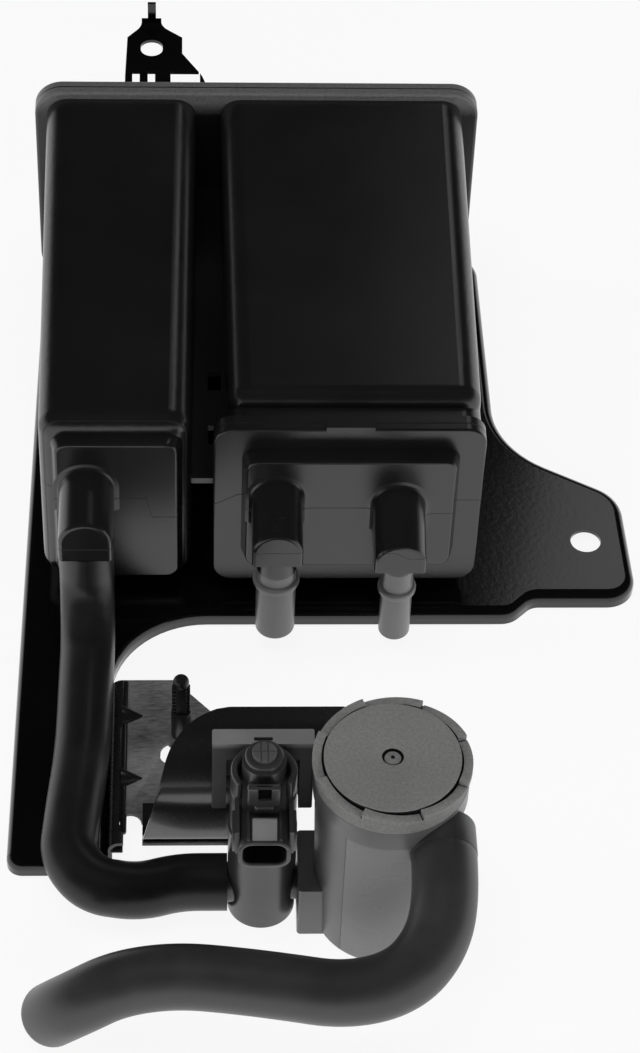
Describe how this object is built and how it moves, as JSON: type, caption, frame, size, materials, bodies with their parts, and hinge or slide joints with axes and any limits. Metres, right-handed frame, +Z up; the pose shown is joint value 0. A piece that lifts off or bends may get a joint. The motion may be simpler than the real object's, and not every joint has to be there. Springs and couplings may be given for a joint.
{
  "type": "charcoal canister",
  "caption": "Fuel vapour canister with two carbon chambers on a pressed steel bracket, with vent valve, fresh air filter and hoses.",
  "frame": {"origin": "on the surface that the bracket stands on, under the middle of the plan of everything but the free air hose", "axes": "+X to the side with the bracket's ear, +Y from the ports to the far tab, +Z up"},
  "size_m": [0.2524, 0.5585, 0.111],
  "materials": {
    "bracket_paint": "gloss black paint on pressed steel",
    "plate_paint": "satin black paint on sheet steel",
    "housing_nylon": "semi-gloss moulded black nylon",
    "valve_plastic": "semi-gloss moulded black plastic",
    "holder_plastic": "plain moulded black plastic",
    "filter_plastic": "matt moulded dark grey plastic",
    "filter_cap_plastic": "finely grained charcoal plastic",
    "clip_plastic": "plain moulded black plastic",
    "hose_rubber": "satin black rubber",
    "seal_rubber": "soft black rubber",
    "zinc_steel": "zinc-plated steel",
    "dark_steel": "dark phosphated steel",
    "spring_steel": "plain spring wire",
    "winding_copper": "enamelled copper wire, drawn as one block",
    "terminal_brass": "tinned brass",
    "carbon_granules": "packed carbon granules",
    "filter_foam": "open foam",
    "filter_paper": "pleated filter paper"
  },
  "bodies": {
    "root": {"base_bracket": "bracket_paint", "canister_housing": "housing_nylon", "port_cover": "housing_nylon", "rear_cover": "housing_nylon", "canister_screws": "zinc_steel", "clip_plate": "plate_paint", "valve_bracket": "plate_paint", "tree_clip": "clip_plastic", "valve_holder": "holder_plastic", "valve_body": "valve_plastic", "coil_cover": "valve_plastic", "coil_bobbin": "valve_plastic", "coil_winding": "winding_copper", "valve_plunger": "zinc_steel", "plunger_seal": "seal_rubber", "plunger_spring": "spring_steel", "pole_screw": "dark_steel", "terminal_blades": "terminal_brass", "port_seal": "seal_rubber", "filter_housing": "filter_plastic", "filter_cap": "filter_cap_plastic", "filter_element": "filter_paper", "vent_hose": "hose_rubber", "air_hose": "hose_rubber", "front_pad_left": "filter_foam", "back_pad_left": "filter_foam", "carbon_bed_left": "carbon_granules", "pressure_plate_left": "valve_plastic", "bed_spring_left": "spring_steel", "front_pad_right": "filter_foam", "back_pad_right": "filter_foam", "carbon_bed_right": "carbon_granules", "pressure_plate_right": "valve_plastic", "bed_spring_right": "spring_steel"}
  },
  "joints": []
}
